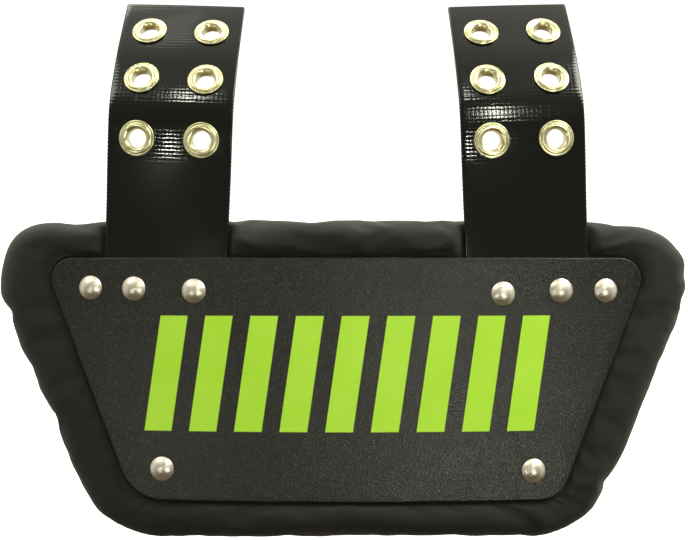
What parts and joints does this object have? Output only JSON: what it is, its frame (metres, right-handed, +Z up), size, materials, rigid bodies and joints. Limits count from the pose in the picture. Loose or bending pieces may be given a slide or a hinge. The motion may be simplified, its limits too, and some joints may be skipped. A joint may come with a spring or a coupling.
{
  "type": "football back plate",
  "caption": "Bowed hard back plate riveted to a foam pad with a rolled border, with two webbing straps that carry brass grommets and curl back over the shoulders.",
  "frame": {"origin": "midway between the two straps at their middle grommet row, level with the straps' rear faces, where the set hangs on a shoulder pad", "axes": "+X to the viewer's right across the plate, +Y from the plate's face towards the wearer's back, +Z up the straps"},
  "size_m": [0.4336, 0.0541, 0.3342],
  "materials": {
    "pad_fabric": "matt black knitted cover over foam",
    "plate_plastic": "black moulded sheet with a fine leather grain",
    "coated_webbing": "glossy black coating over coarse webbing",
    "grommet_brass": "bright rolled brass",
    "rivet_nickel": "nickel-plated steel dome"
  },
  "bodies": {
    "root": {"pad": "pad_fabric", "plate": "plate_plastic", "strap_left": "coated_webbing", "strap_right": "coated_webbing", "grommet_left_1": "grommet_brass", "grommet_left_2": "grommet_brass", "grommet_left_3": "grommet_brass", "grommet_left_4": "grommet_brass", "grommet_left_5": "grommet_brass", "grommet_left_6": "grommet_brass", "grommet_right_1": "grommet_brass", "grommet_right_2": "grommet_brass", "grommet_right_3": "grommet_brass", "grommet_right_4": "grommet_brass", "grommet_right_5": "grommet_brass", "grommet_right_6": "grommet_brass", "rivet_outer_left": "rivet_nickel", "rivet_strap_left_1": "rivet_nickel", "rivet_strap_left_2": "rivet_nickel", "rivet_strap_right_1": "rivet_nickel", "rivet_strap_right_2": "rivet_nickel", "rivet_outer_right": "rivet_nickel", "rivet_low_left": "rivet_nickel", "rivet_low_right": "rivet_nickel"}
  },
  "joints": []
}
